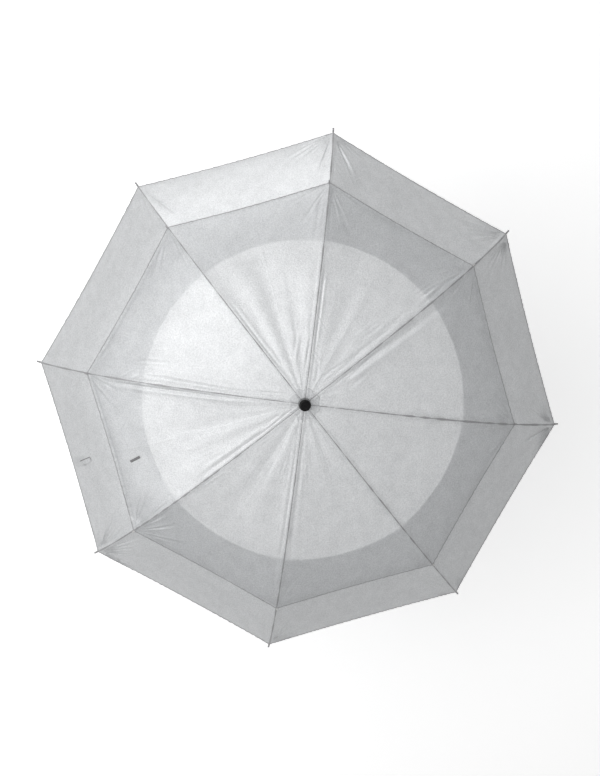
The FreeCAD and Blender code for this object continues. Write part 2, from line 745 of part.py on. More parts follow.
def hem_cutter(name, hem_radius):
    """A wide cylinder outside the gore, whose wall curves the hem in between two ribs."""
    reach = "(%s * sin($gore_half_angle))" % hem_radius
    radius = "(%s ^ 2 + $hem_rise ^ 2) / (2 * $hem_rise)" % reach
    centre = "(%s * %s - $hem_rise + %s)" % (hem_radius, SQUEEZE, radius)
    cutter = made("Part::Cylinder", name)
    bind(cutter, "Radius", radius)
    bind(cutter, "Height", "$crown_height")
    bind(cutter, ".Placement.Base.x", "%s * cos($gore_half_angle)" % centre)
    bind(cutter, ".Placement.Base.y", "-%s * sin($gore_half_angle)" % centre)
    bind(cutter, ".Placement.Base.z", "$crown_height / 2")
    return cutter


def make_half_gore(name, lift, start, hem_radius):
    """Half a gore: a ruled sheet from its rib to the middle crease, with a curved hem.

    start holds the inner ends at the rib and at the crease."""
    gap = value("$seam_gap")
    rib_side = cloth_sketch(
        name + "_seam", 0, gap, RIB_ARCS, "1", lift, start[0], hem_radius
    )
    hem = "%s * %s" % (hem_radius, SQUEEZE)
    crease = cloth_sketch(
        name + "_crease", -value("$gore_half_angle"), -gap, CREASE_ARCS, SQUEEZE, lift,
        start[1], hem,
    )
    sheet_solid = made(
        "Part::Loft", name + "_sheet", Sections=[rib_side, crease], Solid=True, Ruled=True
    )
    return cut_by(sheet_solid, hem_cutter(name + "_hem", hem_radius), name + "_panel")


def make_lower_half():
    start = ("$vent_radius - $vent_margin", "($vent_radius - $vent_margin) * %s" % SQUEEZE)
    panel = make_half_gore("lower", "$lower_lift", start, "$lower_hem_radius")
    vent = made("Part::Cylinder", "vent")
    bind(vent, "Radius", "$vent_radius")
    bind(vent, "Height", "$crown_height * 2")
    return cut_by(panel, vent, "lower_half")


def make_strap(turn):
    """The closing strap, sewn to the hem beside the middle crease and laid up the gore."""
    sketch = cloth_sketch(
        "strap_side", -value("$gore_half_angle"), -value("$strap_offset"), CREASE_ARCS, SQUEEZE,
        "($lower_lift + $fabric + $strap_lift)",
        "$lower_hem_radius * %s - $hem_rise - $strap_run" % SQUEEZE,
        "$lower_hem_radius * %s - $hem_rise - $strap_inset" % SQUEEZE,
        "$strap_thickness",
    )
    strap = made(
        "Part::Extrusion", "strap", Base=sketch, DirMode="Normal", Solid=True, Reversed=True
    )
    bind(strap, "LengthFwd", "$strap_width")
    spread(strap, "closing_strap", turn)


def spread(master, name, turn):
    """A copy of a master, turned round the shaft's axis, as a node."""
    copy = made("Part::Compound", name, Links=[master])
    copy.Placement = Placement(Vector(), Rotation(Vector(0, 0, 1), turn))
    nodes[name] = copy


def make_runner():
    body = new_body("runner")
    bind(body, ".Placement.Rotation.Angle", "$gore_half_angle")
    foot = "%s - $runner_length" % RUNNER_Z
    rim = "%s + $runner_foot" % foot
    under = "%s - $runner_flange" % RUNNER_Z
    top = "%s + $runner_flange" % RUNNER_Z
    seat = "%s - $collar_seat" % RUNNER_Z
    half = new_sketch(body, "runner_half")
    outline(
        half,
        [
            ("$runner_bore_radius", foot),
            ("$runner_foot_radius - $runner_foot_edge", foot),
            ("$runner_foot_radius", foot + " + $runner_foot_edge"),
            ("$runner_foot_radius", rim),
            ("$runner_barrel_radius", rim + " + $runner_rim_fall"),
            ("$runner_barrel_radius", under + " - $runner_under_fall"),
            ("$runner_flange_radius - $runner_edge", under),
            ("$runner_flange_radius", under + " + $runner_edge"),
            ("$runner_flange_radius", top + " - $runner_edge"),
            ("$runner_flange_radius - $runner_edge", top),
            ("$collar_seat_radius", top),
            ("$collar_seat_radius", seat),
            ("$runner_bore_radius", seat),
        ],
    )
    revolve(body, half)
    slotted_flange(
        body, "runner", RUNNER_Z, "$runner_slot_drop", "$runner_slot_drop",
        "$runner_slot_floor", "$runner_pivot_radius", "$gore_half_angle",
    )
    boss = new_sketch(body, "boss_side")
    outline(
        boss,
        [
            ("$channel_floor", RUNNER_Z + " - $boss_foot"),
            ("$boss_radius - $boss_edge", RUNNER_Z + " - $boss_foot"),
            ("$boss_radius", RUNNER_Z + " - $boss_foot + $boss_fall"),
            ("$boss_radius", RUNNER_Z + " - $boss_head - $boss_edge"),
            ("$boss_radius - $boss_edge", RUNNER_Z + " - $boss_head"),
            ("$channel_floor", RUNNER_Z + " - $boss_head"),
        ],
    )
    pad(body, boss, "$boss_half_width * 2", symmetric=True)
    for name, floor, low, high in (
        ("channel", "$channel_floor", "$channel_foot", "$channel_head"),
        ("window", "$runner_bore_radius", "$hook_base + $hook_play", "$hook_top - $hook_play"),
    ):
        opening = new_sketch(body, name, "YZ_Plane", ("0", "0", floor))
        side = "$channel_half_width"
        base = "%s - (%s)" % (RUNNER_Z, low)
        head = "%s - (%s)" % (RUNNER_Z, high)
        outline(opening, [("-" + side, base), (side, base), (side, head), ("-" + side, head)])
        pocket(body, opening, "$boss_radius", reverse=True)
    bearing = new_sketch(body, "bearing")
    pivot = "%s - $lever_pivot_drop" % RUNNER_Z
    circle(bearing, "$lever_pivot_radius", pivot, "$trunnion_radius + $seat_gap")
    pocket(body, bearing, "$boss_half_width * 3", symmetric=True)


def make_button():
    """The push-button lever: a catch at its head, trunnions, and the pad that is pressed."""
    body = new_body("runner_button")
    bind(body, ".Placement.Rotation.Angle", "$gore_half_angle")
    below = RUNNER_Z + " - "
    side = new_sketch(body, "lever_side")
    outline(
        side,
        [
            ("$lever_back", below + "$lever_foot"),
            ("$lever_face", below + "$lever_foot"),
            ("$lever_face", below + "$pad_foot"),
            ("$pad_face - $pad_edge", below + "$pad_foot"),
            ("$pad_face", below + "$pad_foot + $pad_edge"),
            ("$pad_face", below + "$pad_head - $pad_edge"),
            ("$lever_face", below + "$pad_head"),
            ("$lever_face", below + "$lever_head - $lever_bevel"),
            ("$lever_face - $lever_bevel", below + "$hook_top"),
            ("$hook_reach + $hook_slope", below + "$hook_top"),
            ("$hook_reach", below + "$hook_base + $hook_bevel"),
            ("$hook_reach", below + "$hook_base"),
            ("$lever_back", below + "$hook_base"),
        ],
    )
    pad(body, side, "$lever_half_width * 2", symmetric=True)
    trunnion = new_sketch(body, "trunnion")
    circle(trunnion, "$lever_pivot_radius", below + "$lever_pivot_drop", "$trunnion_radius")
    pad(body, trunnion, "$boss_half_width * 2", symmetric=True)


def make_spring():
    """A bent leaf spring that presses the foot of the lever outwards."""
    body = new_body("button_spring")
    bind(body, ".Placement.Rotation.Angle", "$gore_half_angle")
    foot, middle, head = [
        "%s - %s" % (RUNNER_Z, drop)
        for drop in ("$pad_foot", "($pad_foot + $pad_head) / 2", "$pad_head")
    ]
    floor = "$channel_floor + $seat_gap"
    crest = "$lever_back - $seat_gap"
    leaf = new_sketch(body, "leaf")
    outline(
        leaf,
        [
            (floor, foot),
            (floor + " + $spring_thickness", foot),
            (crest, middle),
            (floor + " + $spring_thickness", head),
            (floor, head),
            (crest + " - $spring_thickness", middle),
        ],
    )
    pad(body, leaf, "$spring_half_width * 2", symmetric=True)


def write_nodes():
    """Checks every object and every node's solids, then writes one file for each node."""
    document.recompute()
    for item in document.Objects:
        if "Invalid" in item.State or "Error" in item.State:
            raise RuntimeError("%s failed to build" % item.Name)
    for name, item in nodes.items():
        shape = item.Shape
        if shape.isNull() or not shape.isValid() or len(shape.Solids) != 1:
            raise RuntimeError("%s is not one sound solid" % name)
    os.makedirs("parts", exist_ok=True)
    for name, item in nodes.items():
        item.Label = name
        item.Shape.exportStep("parts/%s.step" % name)
        print("%-22s %10.1f mm3" % (name, item.Shape.Volume))


make_shaft()
make_grip()
make_notch()
make_ring_wire("notch_wire", "$notch_pivot_radius", "$crown_height")
make_cap()
make_patch()
make_collar()
make_runner()
make_ring_wire("runner_wire", "$runner_pivot_radius", RUNNER_Z)
make_button()
make_spring()
rib_master = make_rib("rib_master")
stretcher_master = make_stretcher("stretcher_master")
upper_a = make_half_gore(
    "upper", "$upper_lift", ("$crown_hole", "$crown_hole"), "$upper_hem_radius"
)
lower_a = make_lower_half()
mirror = Vector(0, 1, 0)
upper_b = made("Part::Mirroring", "upper_mirror", Source=upper_a, Normal=mirror)
lower_b = made("Part::Mirroring", "lower_mirror", Source=lower_a, Normal=mirror)
for number in range(1, RIBS + 1):
    turn = -GORE_ANGLE * (number - 1)
    before = (number - 2) % RIBS + 1
    spread(rib_master, "rib_%d" % number, turn)
    spread(stretcher_master, "stretcher_%d" % number, turn)
    spread(upper_a, "upper_gore_%d_half_a" % number, turn)
    spread(upper_b, "upper_gore_%d_half_b" % before, turn)
    spread(lower_a, "lower_gore_%d_half_a" % number, turn)
    spread(lower_b, "lower_gore_%d_half_b" % before, turn)
    if number == 6:
        make_strap(turn)
write_nodes()
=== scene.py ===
import json
import math

import bpy
import numpy as np
from mathutils import Matrix, Vector


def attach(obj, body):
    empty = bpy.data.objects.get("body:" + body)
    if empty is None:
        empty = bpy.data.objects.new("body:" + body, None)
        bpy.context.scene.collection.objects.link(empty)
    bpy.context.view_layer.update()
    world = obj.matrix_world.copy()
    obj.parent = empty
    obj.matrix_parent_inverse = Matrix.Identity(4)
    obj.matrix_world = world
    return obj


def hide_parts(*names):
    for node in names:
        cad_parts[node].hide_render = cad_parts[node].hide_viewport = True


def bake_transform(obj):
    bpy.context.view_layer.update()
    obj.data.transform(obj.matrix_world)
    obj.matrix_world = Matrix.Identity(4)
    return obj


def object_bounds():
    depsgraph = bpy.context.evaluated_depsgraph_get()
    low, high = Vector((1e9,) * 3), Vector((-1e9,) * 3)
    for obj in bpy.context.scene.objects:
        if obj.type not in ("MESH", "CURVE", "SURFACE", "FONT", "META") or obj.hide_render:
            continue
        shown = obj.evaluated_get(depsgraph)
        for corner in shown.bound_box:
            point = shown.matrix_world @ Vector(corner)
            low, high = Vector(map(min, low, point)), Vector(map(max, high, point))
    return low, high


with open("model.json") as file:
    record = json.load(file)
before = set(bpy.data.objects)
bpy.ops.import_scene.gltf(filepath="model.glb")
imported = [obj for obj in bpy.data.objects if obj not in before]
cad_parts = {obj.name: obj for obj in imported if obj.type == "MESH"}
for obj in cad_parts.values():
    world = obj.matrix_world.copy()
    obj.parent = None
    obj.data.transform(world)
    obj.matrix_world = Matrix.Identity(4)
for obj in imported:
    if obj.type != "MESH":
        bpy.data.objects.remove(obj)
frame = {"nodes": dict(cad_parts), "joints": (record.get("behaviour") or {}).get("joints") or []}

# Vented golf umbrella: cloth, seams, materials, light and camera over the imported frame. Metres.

CAD_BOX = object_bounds()
NODES = frame["nodes"]
JOINTS = {joint["name"]: joint for joint in frame["joints"]}
UP = np.array([0, 0, 1.0])

# The canopy's driving sizes, as in the part's source.
RIBS = 8
GORE = math.tau / RIBS
HALF = GORE / 2
PIVOT = Vector(JOINTS["rib_1_pivot"]["pos_m"])
JOINT_RUN = 0.300
CROWN_ARC = 1.572
SKIRT_ARC = 0.5555
CROWN_HOLE = 0.009
VENT = 0.378
UPPER_HEM = 0.519
LOWER_HEM = 0.650
HEM_RISE = 0.005
HEM_FOLD = 0.009
HEM_THICKNESS = 0.0009
UPPER_LIFT = 0.0059
LOWER_LIFT = 0.0026
TIP_START = 0.6512
# How loose the cloth of each gore is round the crown.
CROWN_FOLDS = (0.4, 0.3, 0.3, 0.5, 0.6, 0.4, 0.4, 0.45)
# How deep the cloth bends down at a corner, on its rib's first gore or on the one before it.
CORNER_DIP = {
    (6, "first"): 0.00680, (6, "second"): 0.00192, (2, "second"): 0.00560, (1, "first"): 0.00480,
    (4, "second"): 0.00480, (3, "second"): 0.00480, (3, "first"): 0.00240, (8, "second"): 0.00240,
}
# Loose folds of the upper canopy: rib, gore, from and to radius, distance from the seam at each
# end, half width and depth.
LONG_FOLDS = (
    (2, 2, 0.06, 0.44, 0.004, 0.026, 0.0075, 0.00285),
    (2, 1, 0.10, 0.36, 0.012, 0.022, 0.0060, 0.00120),
    (2, 1, 0.34, 0.44, 0.010, 0.012, 0.0040, 0.00150),
    (1, 1, 0.10, 0.33, 0.006, 0.010, 0.0035, 0.00105),
    (3, 2, 0.20, 0.50, 0.003, 0.008, 0.0050, 0.00255),
    (5, 4, 0.05, 0.40, 0.004, 0.014, 0.0060, 0.00120),
    (5, 5, 0.05, 0.42, 0.003, 0.010, 0.0045, 0.00120),
    (6, 6, 0.08, 0.30, 0.006, 0.014, 0.0050, 0.00105),
    (7, 6, 0.12, 0.46, 0.004, 0.010, 0.0050, 0.00255),
    (7, 7, 0.10, 0.40, 0.008, 0.018, 0.0060, 0.00195),
    (7, 7, 0.14, 0.30, 0.018, 0.032, 0.0050, 0.00120),
    (8, 8, 0.06, 0.30, 0.005, 0.010, 0.0040, 0.00075),
)
PATCH_RADIUS = 0.033
LOBE_CENTRE = 0.028
LOBE_RADIUS = 0.010
LOBE_TURN = math.radians(-12)
# The gore that carries the strap and the dark tab.
MARKED_GORE = 6
# Ribs whose corner elastic is pale. The others have a dark one.
PALE_TACKS = (2, 4, 5, 6)
# Dark corded line on a seam, darkened and widened so that it also paints the shade along the seam:
# mean half width with its limits, height, and where it starts.
SEAM_HALF_WIDTH = 0.0012
SEAM_LEAST, SEAM_MOST = 0.0006, 0.0018
SEAM_CROWN = 0.0005
SEAM_START = 0.0145
# Dark stitched edge at a hem, which also paints the shadow line under the hem: how far in it
# starts, its width and its height.
HEM_SHADE_CORD_INSET = 0.0002
HEM_SHADE_CORD_WIDTH = 0.0020
HEM_SHADE_CORD_RISE = 0.0006
# How far trims stand off the cloth, and their edges where they are sewn down.
TRIM_RISE = 0.0006
EDGE_RISE = 0.0001
TACK_HALF_WIDTH = 0.0017
GRID = 0.0026
# How hard the seam and the corners of each rib drag on the cloth, from rib 1 round to rib 8.
SEAM_PULL = (1.2, 1.7, 1.0, 0.8, 1.3, 0.7, 1.7, 0.6)
CORNER_PULL = (2.3, 2.6, 2.8, 1.2, 1.0, 3.0, 0.9, 1.2)
# How much wider each seam's dark line, with the shade painted in it, is towards the hem.
SEAM_SPREAD = (0.1, 0.2, 0.7, 0.0, 0.1, 0.2, 0.3, -0.2)
# Short creases beside the tab and the strap of gore 6: layer, out, from and to across, height.
PULL_CREASES = (
    ("upper", 0.4340, 0.033, 0.064, 0.00050), ("upper", 0.4275, 0.032, 0.052, 0.00035),
    ("upper", 0.4110, 0.022, 0.004, 0.00045), ("lower", 0.5740, 0.024, 0.066, 0.00040),
    ("lower", 0.5480, 0.006, -0.016, 0.00050), ("lower", 0.5410, 0.004, -0.010, 0.00040),
)


# Shape of the canopy

def rib_height(x, lift):
    """Height of a sheet that lies lift above a rib's axis, at level distance x from the shaft."""
    turn = math.asin(JOINT_RUN / CROWN_ARC)
    knee = PIVOT.x + JOINT_RUN
    inner_centre = PIVOT.z - CROWN_ARC
    outer_x = PIVOT.x + (CROWN_ARC - SKIRT_ARC) * math.sin(turn)
    outer_centre = inner_centre + (CROWN_ARC - SKIRT_ARC) * math.cos(turn)
    inner = inner_centre + np.sqrt(np.maximum((CROWN_ARC + lift) ** 2 - (x - PIVOT.x) ** 2, 0))
    outer = outer_centre + np.sqrt(np.maximum((SKIRT_ARC + lift) ** 2 - (x - outer_x) ** 2, 0))
    return np.where(x < knee, inner, outer)


def gore_height(along, lift):
    """A gore is stretched straight across from rib to rib, so its height depends only on along."""
    return rib_height(along / math.cos(HALF), lift)


def gore_slope(along, lift):
    small = 1e-5
    return (gore_height(along + small, lift) - gore_height(along - small, lift)) / (2 * small)


def level_directions(azimuth):
    """Level unit vectors: out at this azimuth, and across it, anticlockwise from above."""
    out = np.array([math.cos(azimuth), math.sin(azimuth), 0.0])
    across = np.array([-math.sin(azimuth), math.cos(azimuth), 0.0])
    return out, across


def rib_directions(rib):
    return level_directions(-GORE * (rib - 1))


def gore_directions(gore):
    """Out along the middle of a gore, and across towards its first rib."""
    return level_directions(-GORE * (gore - 1) - HALF)


def ripple(t, seed, low, high, count=7):
    """Smooth random wave of t with about unit height and wavelengths between low and high."""
    rng = np.random.default_rng(seed)
    lengths = np.exp(rng.uniform(math.log(low), math.log(high), count))
    phases = rng.uniform(0, math.tau, count)
    total = sum(np.sin(math.tau * t / length + phase) for length, phase in zip(lengths, phases))
    return total / math.sqrt(count / 2)


def step(t, start, end):
    u = np.clip((t - start) / (end - start), 0, 1)
    return u * u * (3 - 2 * u)


def slack(gore, out, across, radius, share, to_seam, to_hem):
    """Slow rise and fall that both layers of a gore share: sag between the ribs and soft waves."""
    seed = gore * 10
    waves = (
        ripple(out + 0.5 * across, seed, 0.10, 0.28, 4)
        + ripple(across - 0.3 * out, seed + 1, 0.10, 0.24, 4)
        + ripple(0.7 * out - across, seed + 2, 0.12, 0.30, 4)
    )
    height = 0.0004 * waves * step(to_seam, 0, 0.06) * step(radius, 0.04, 0.2)
    height = height - 0.0026 * (1 - share ** 2) * step(radius, 0.05, 0.3)
    return height * step(to_hem, 0, 0.10)


def pull_lines(rib, seed, out, to_seam):
    """Long streaks that run beside a seam where it drags on the cloth."""
    drift = to_seam + 0.07 * out
    where = 0.5 + 0.5 * ripple(out, seed + 3, 0.12, 0.30, 3)
    size = 0.00019 * SEAM_PULL[rib - 1] * where ** 2
    return size * ripple(drift, seed + 4, 0.009, 0.030) * np.exp(-to_seam / 0.034)


def puckers(rib, seed, out, to_seam):
    """Short ripples across a seam, where the cloth is eased into the stitches."""
    slant = out / math.cos(HALF) + 0.9 * to_seam
    where = np.clip(0.3 + ripple(slant, seed + 5, 0.07, 0.22, 4), 0, 2)
    size = 0.00013 * SEAM_PULL[rib - 1] * where
    return size * ripple(slant, seed + 6, 0.011, 0.030) * np.exp(-to_seam / 0.016)


def long_folds(rib, gore, radius, to_seam):
    """Loose folds that run out beside a seam, a valley with a low ridge beyond it."""
    height = 0 * radius
    for fold_rib, fold_gore, start, end, off_start, off_end, width, depth in LONG_FOLDS:
        if (fold_rib, fold_gore) != (rib, gore):
            continue
        run = np.clip((radius - start) / (end - start), 0, 1)
        middle = off_start + (off_end - off_start) * run
        fade = step(run, 0, 0.3) * (1 - step(run, 0.75, 1))
        valley = np.exp(-((to_seam - middle) / width) ** 2)
        ridge = 0.5 * np.exp(-((to_seam - middle - 1.6 * width) / width) ** 2)
        height = height + depth * fade * (ridge - valley)
    return height


def corner_dip(rib, layer, first_side, out, across, hem):
    """The cloth bends down beside a corner that pulls it hard."""
    reach = np.hypot(hem * math.cos(HALF) - out, hem * math.sin(HALF) - across)
    size = CORNER_DIP.get((rib, "first" if first_side else "second"), 0)
    size = size * (1.0 if layer == "lower" else 0.7)
    return -size * np.exp(-(reach / 0.055) ** 2) * step(reach, 0, 0.040)


def corner_fan(rib, seed, layer, out, across, hem):
    """Folds that fan out of the corner where the hem is pulled onto the rib."""
    du = hem * math.cos(HALF) - out
    dv = hem * math.sin(HALF) - across
    reach = np.hypot(du, dv)
    bearing = np.arctan2(dv, du)
    size = 0.00062 * CORNER_PULL[rib - 1] * (1.0 if layer == "lower" else 0.5)
    length = 0.075 + 0.04 * ripple(bearing, seed + 7, math.radians(20), math.radians(60), 3)
    length = np.clip(length, 0.03, 0.10)
    fade = step(reach, 0.003, 0.03) * (1 - step(reach, 0.35 * length, 1.5 * length))
    return size * fade * ripple(bearing, seed + 8, math.radians(5), math.radians(16))


def pull_creases(layer, out, across):
    """Short ridges where the tab and the strap are sewn on."""
    height = 0 * out
    for crease_layer, place, start, end, size in PULL_CREASES:
        if crease_layer == layer:
            run = np.clip((across - start) / (end - start), 0, 1)
            ridge = np.exp(-((out - place) / 0.0024) ** 2)
            height = height + size * step(run, 0, 0.15) * (1 - run) * ridge
    return height


def relief(gore, layer, out, across, hem, to_hem):
    """How far the cloth stands off the stretched gore: pleats, puckers and folds, in metres."""
    half_width = out * math.tan(HALF)
    share = np.abs(across) / half_width
    to_seam = (half_width - np.abs(across)) * math.cos(HALF)
    radius = np.hypot(out, across)
    angle = np.arctan2(across, out)
    pinned = step(to_seam, 0.001, 0.010)
    height = slack(gore, out, across, radius, share, to_seam, to_hem)
    first_side = across >= 0
    for rib, mine in ((gore, first_side), (gore % RIBS + 1, ~first_side)):
        first = rib == gore
        seed = rib * 1000 + gore * 20 + (0 if layer == "upper" else 10)
        local = pull_lines(rib, seed, out, to_seam) + puckers(rib, seed, out, to_seam)
        fan = corner_fan(rib, seed, layer, out, np.abs(across), hem)
        local = local + fan * step(to_hem, -0.008, 0.016)
        dip = corner_dip(rib, layer, first, out, np.abs(across), hem)
        local = local + dip * step(to_hem, -0.004, 0.03)
        if layer == "upper":
            local = local + long_folds(rib, gore, radius, to_seam)
        height += np.where(mine, local * pinned * step(share, 0, 0.3), 0)
    if layer == "upper":
        seed = 7000 + gore
        pleat = ripple(angle, seed, math.radians(2.2), math.radians(9))
        where = np.clip(0.35 + ripple(radius + 0.1 * angle, seed + 9, 0.08, 0.2, 3), 0, 1.5)
        near_crown = step(radius, 0.012, 0.05) * (1 - step(radius, 0.12, 0.42)) * pinned
        loose = CROWN_FOLDS[gore - 1] * radius * near_crown
        facet = ripple(angle, seed + 20, math.radians(11), math.radians(30), 3)
        height += loose * (0.0009 * pleat * where + 0.0058 * facet * step(to_seam, 0, 0.012))
        # The hem of the upper layer stands clear of the lower one between the ribs.
        height += 0.0020 * (1 - share ** 4) * (1 - step(to_hem, 0, 0.12))
        # A pressed fold down the middle of the gore.
        height += 0.00030 * np.exp(-np.abs(across) / 0.0035) * step(radius, 0.03, 0.08)
    else:
        # The edge of the vent lies close under the upper layer.
        height += 0.0020 * (1 - step(radius - VENT, 0, 0.06)) * step(to_seam, 0.005, 0.04)
    if gore == MARKED_GORE:
        height += pull_creases(layer, out, across)
    # The hem's stitches gather it slightly.
    gather = ripple(across, 8000 + gore * 2 + (layer == "upper"), 0.009, 0.03)
    height += 0.00030 * gather * np.exp(-to_hem / 0.015) * pinned
    height -= 0.0009 * np.exp(-((to_hem - 0.0095) / 0.0020) ** 2)
    # Each side of the seam is turned under and stands up as a low welt.
    height += 0.0003 * np.exp(-((to_seam - 0.0042) / 0.0024) ** 2)
    return height


def hem_line(hem, share):
    """Where the hem is along the gore, curved in by HEM_RISE at the middle."""
    return hem * math.cos(HALF) - HEM_RISE * (1 - share ** 2)


def cloth_points(gore, layer, out, across, above=0.0):
    """Points on the creased cloth of a gore, raised by above from its surface."""
    hem, lift = (UPPER_HEM, UPPER_LIFT) if layer == "upper" else (LOWER_HEM, LOWER_LIFT)
    share = np.abs(across) / (out * math.tan(HALF))
    steep = math.hypot(1, float(gore_slope(np.array(hem * math.cos(HALF)), lift)))
    to_hem = (hem_line(hem, share) - out) * steep
    rise = relief(gore, layer, out, across, hem, to_hem) + above
    slope = gore_slope(out, lift)
    long = np.sqrt(1 + slope ** 2)
    out_way, across_way = gore_directions(gore)
    points = (out - rise * slope / long)[..., None] * out_way + across[..., None] * across_way
    points[..., 2] = gore_height(out, lift) + rise / long
    return points


def sheet_points(gore, half, layer, steps_out, steps_across):
    """Grid of points of one half gore, from its inner edge to its hem and back under its hem.

    Returns the points, each one's share of the way from the middle to the seam, its share of the
    way from the inner edge to the hem, and the flat area of the cut."""
    side = 1 if half == "a" else -1
    hem, lift = (UPPER_HEM, UPPER_LIFT) if layer == "upper" else (LOWER_HEM, LOWER_LIFT)
    share = np.linspace(0, 1, steps_across)[None, :]
    if layer == "upper":
        inner = CROWN_HOLE + 0 * share
    else:
        inner = VENT / np.sqrt(1 + (share * math.tan(HALF)) ** 2)
    edge = hem_line(hem, share)
    rows = np.linspace(0, 1, steps_out)[:, None]
    turned = np.linspace(0, 1, 5)[:, None]
    top = inner + rows * (edge - inner)
    steep = math.hypot(1, float(gore_slope(np.array(hem * math.cos(HALF)), lift)))
    under = edge - turned * HEM_FOLD / steep
    out = np.concatenate([top, under])
    drop = np.concatenate([0 * top, HEM_THICKNESS + 0 * under])
    share = share + 0 * out
    along = (out - inner) / (edge - inner)
    across = side * share * out * math.tan(HALF)
    points = cloth_points(gore, layer, out, across, -drop)
    width = (out * math.tan(HALF) * np.hypot(1, gore_slope(out, lift)))[:steps_out]
    area = float(((width[1:] + width[:-1]) / 2 * np.diff(top, axis=0)).sum(axis=0).mean())
    return points, share, along, area


def grid_object(name, points, flip):
    """Mesh object over a grid of points, shaded smooth."""
    rows, columns = points.shape[:2]
    index = np.arange(rows * columns).reshape(rows, columns)
    corners = [index[:-1, :-1], index[:-1, 1:], index[1:, 1:], index[1:, :-1]]
    if flip:
        corners.reverse()
    faces = np.stack(corners, axis=-1).reshape(-1, 4)
    mesh = bpy.data.meshes.new(name)
    mesh.from_pydata(points.reshape(-1, 3).tolist(), [], faces.tolist())
    mesh.polygons.foreach_set("use_smooth", [True] * len(mesh.polygons))
    obj = bpy.data.objects.new(name, mesh)
    bpy.context.scene.collection.objects.link(obj)
    return obj


# Materials

def new_material(name):
    material = bpy.data.materials.new(name)
    material.use_nodes = True
    nodes, links = material.node_tree.nodes, material.node_tree.links
    shader = nodes["Principled BSDF"]
    return material, nodes, links, shader


def noise(nodes, links, scale, detail, vector):
    texture = nodes.new("ShaderNodeTexNoise")
    texture.inputs["Scale"].default_value = scale
    texture.inputs["Detail"].default_value = detail
    links.new(vector, texture.inputs["Vector"])
    return texture.outputs["Fac"]


def spread_colour(nodes, links, factor, dark, light):
    ramp = nodes.new("ShaderNodeValToRGB")
    ramp.color_ramp.elements[0].position = 0.3
    ramp.color_ramp.elements[1].position = 0.7
    ramp.color_ramp.elements[0].color = (*dark, 1)
    ramp.color_ramp.elements[1].color = (*light, 1)
    links.new(factor, ramp.inputs["Fac"])
    return ramp.outputs["Color"]


def bump(nodes, links, height, strength, distance):
    node = nodes.new("ShaderNodeBump")
    node.inputs["Strength"].default_value = strength
    node.inputs["Distance"].default_value = distance
    links.new(height, node.inputs["Height"])
    return node.outputs["Normal"]


def satin(name, dark, light, through, shine=0.5):
    """Thin silvered satin: a metallic sheen in front and a share of the light let through."""
    material, nodes, links, shader = new_material(name)
    place = nodes.new("ShaderNodeTexCoord").outputs["Object"]
    mottle = noise(nodes, links, 330, 3, place)
    cloud = noise(nodes, links, 40, 4, place)
    both = nodes.new("ShaderNodeMath")
    both.operation = "MULTIPLY_ADD"
    both.inputs[1].default_value = 0.75
    links.new(mottle, both.inputs[0])
    half = nodes.new("ShaderNodeMath")
    half.operation = "MULTIPLY"
    half.inputs[1].default_value = 0.25
    links.new(cloud, half.inputs[0])
    links.new(half.outputs[0], both.inputs[2])
    colour = spread_colour(nodes, links, both.outputs[0], dark, light)
    links.new(colour, shader.inputs["Base Color"])
    shader.inputs["Roughness"].default_value = 0.43
    shader.inputs["Metallic"].default_value = shine
    shader.inputs["Specular IOR Level"].default_value = 0.6
    shader.inputs["Sheen Weight"].default_value = 0.2
    shader.inputs["Coat Weight"].default_value = 0.35
    shader.inputs["Coat Roughness"].default_value = 0.22
    normal = bump(nodes, links, mottle, 0.6, 0.0010)
    links.new(normal, shader.inputs["Normal"])
    behind = nodes.new("ShaderNodeBsdfTranslucent")
    links.new(colour, behind.inputs["Color"])
    links.new(normal, behind.inputs["Normal"])
    mix = nodes.new("ShaderNodeMixShader")
    mix.inputs["Fac"].default_value = through
    links.new(shader.outputs[0], mix.inputs[1])
    links.new(behind.outputs[0], mix.inputs[2])
    links.new(mix.outputs[0], nodes["Material Output"].inputs["Surface"])
    return material


def hard(name, dark, light, roughness, grain_scale=180, grain=0.15, metallic=0.0, level=0.5):
    """Moulded or drawn material with slight grain in colour and surface."""
    material, nodes, links, shader = new_material(name)
    place = nodes.new("ShaderNodeTexCoord").outputs["Object"]
    fine = noise(nodes, links, grain_scale, 5, place)
    links.new(spread_colour(nodes, links, fine, dark, light), shader.inputs["Base Color"])
    shader.inputs["Roughness"].default_value = roughness
    shader.inputs["Metallic"].default_value = metallic
    shader.inputs["Specular IOR Level"].default_value = level
    links.new(bump(nodes, links, fine, grain, 0.0003), shader.inputs["Normal"])
    return material


UPPER = satin("upper_satin", (0.57, 0.58, 0.59), (0.79, 0.80, 0.81), 0.44)
LOWER = satin("lower_satin", (0.50, 0.51, 0.52), (0.71, 0.72, 0.73), 0.14)
# Dark cord colour for the seams, the hem edges and the dark corner tacks. On the seams and hems it
# also paints the shade that lies along them.
CORD_AND_SHADE = satin("seam_cord_and_shade", (0.30, 0.30, 0.31), (0.42, 0.42, 0.43), 0.15, 0.2)
PATCH = satin("patch_cloth", (0.52, 0.53, 0.54), (0.70, 0.71, 0.72), 0.30)
